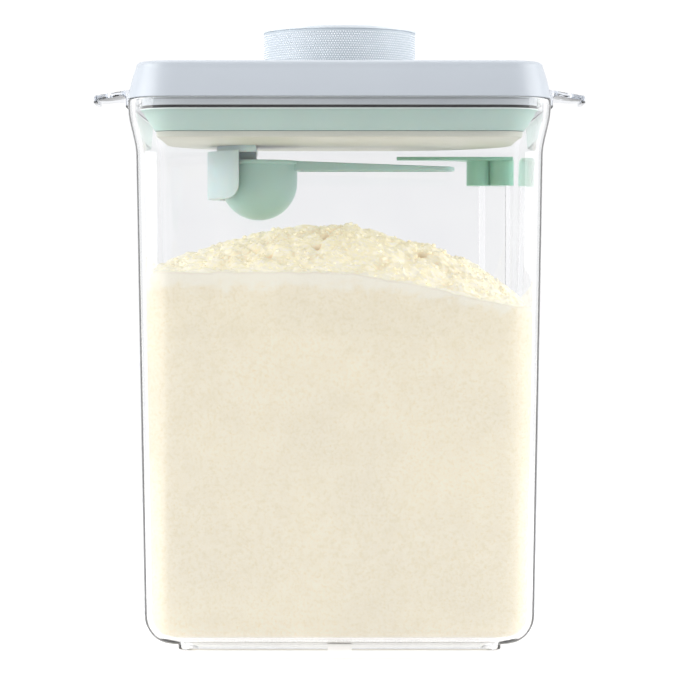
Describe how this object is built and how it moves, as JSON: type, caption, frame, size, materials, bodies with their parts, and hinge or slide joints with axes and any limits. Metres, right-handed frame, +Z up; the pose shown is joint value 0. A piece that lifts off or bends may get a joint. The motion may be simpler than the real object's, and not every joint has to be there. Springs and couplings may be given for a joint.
{
  "type": "formula dispenser",
  "caption": "Clear rectangular powder box with two ears, an airtight push-button lid with a gasket, a scoop clipped under the lid and a levelling blade inside.",
  "frame": {"origin": "middle of the base, on the surface that the box stands on", "axes": "+Z up; -Y is the front, the wide face that shows the scoop at the left; +X towards the levelling blade's side"},
  "size_m": [0.17, 0.116, 0.212],
  "materials": {
    "clear_plastic": "polished transparent moulding",
    "white_plastic": "satin cool white moulding",
    "knob_grip": "fine raised dots",
    "frame_plastic": "smooth grey-white moulding",
    "mechanism_plastic": "natural low-friction plastic",
    "plate_plastic": "glossy cream-white moulding",
    "gasket_silicone": "soft pale green silicone",
    "holder_plastic": "translucent pale green moulding",
    "scoop_plastic": "satin green moulding",
    "leveller_plastic": "satin green moulding",
    "steel": "bright zinc-plated steel",
    "powder": "matte fine cream powder"
  },
  "bodies": {
    "container": {"container": "clear_plastic", "leveller": "leveller_plastic", "formula_powder": "powder"},
    "lid": {"lid_cover": "white_plastic", "lid_frame": "frame_plastic", "gasket": "gasket_silicone", "lid_screws": "steel", "rocker_pivot_pins": "steel", "latch_pivot_pin": "steel", "return_springs": "steel"},
    "button": {"button_cap": "white_plastic", "button_sleeve": "knob_grip", "button_carrier": "frame_plastic", "latch_cam": "mechanism_plastic"},
    "latch_follower": {"latch_follower": "steel"},
    "rocker_left": {"rocker_left": "mechanism_plastic", "link_pin_left": "steel"},
    "rocker_right": {"rocker_right": "mechanism_plastic", "link_pin_right": "steel"},
    "plate": {"seal_plate": "plate_plastic", "scoop_holder": "holder_plastic"},
    "scoop": {"scoop": "scoop_plastic"}
  },
  "joints": [
    {"name": "lid_lift", "type": "slide", "parent": "container", "child": "lid", "axis": [0, 0, 1], "range_m": [0, 0.06]},
    {"name": "button_press", "type": "slide", "parent": "lid", "child": "button", "axis": [0, 0, -1], "range_m": [0, 0.013], "stiffness_N_per_m": 250, "springref_m": -0.006, "deforming": ["return_springs"]},
    {"name": "plate_lift", "type": "slide", "parent": "lid", "child": "plate", "axis": [0, 0, 1], "range_m": [0, 0.0021], "deforming": ["gasket"]},
    {"name": "rocker_left_pivot", "type": "hinge", "parent": "lid", "child": "rocker_left", "pos_m": [-0.031, 0, 0.1843], "axis": [0, 1, 0], "range_deg": [0, 31]},
    {"name": "rocker_right_pivot", "type": "hinge", "parent": "lid", "child": "rocker_right", "pos_m": [0.031, 0, 0.1843], "axis": [0, -1, 0], "range_deg": [0, 31]},
    {"name": "latch_swing", "type": "hinge", "parent": "lid", "child": "latch_follower", "pos_m": [0, 0.0174, 0.1809], "axis": [0, -1, 0], "range_deg": [0, 8.2]},
    {"name": "scoop_release", "type": "slide", "parent": "plate", "child": "scoop", "axis": [1, 0, 0], "range_m": [0, 0.02]}
  ],
  "couplings": [
    {"joint": "plate_lift", "follows": "button_press", "ratio": 0.16},
    {"joint": "rocker_left_pivot", "follows": "button_press", "rad_per_m": 40.615},
    {"joint": "rocker_right_pivot", "follows": "button_press", "rad_per_m": 40.615},
    {"joint": "latch_swing", "follows": "button_press", "rad_per_m": 10.74}
  ]
}
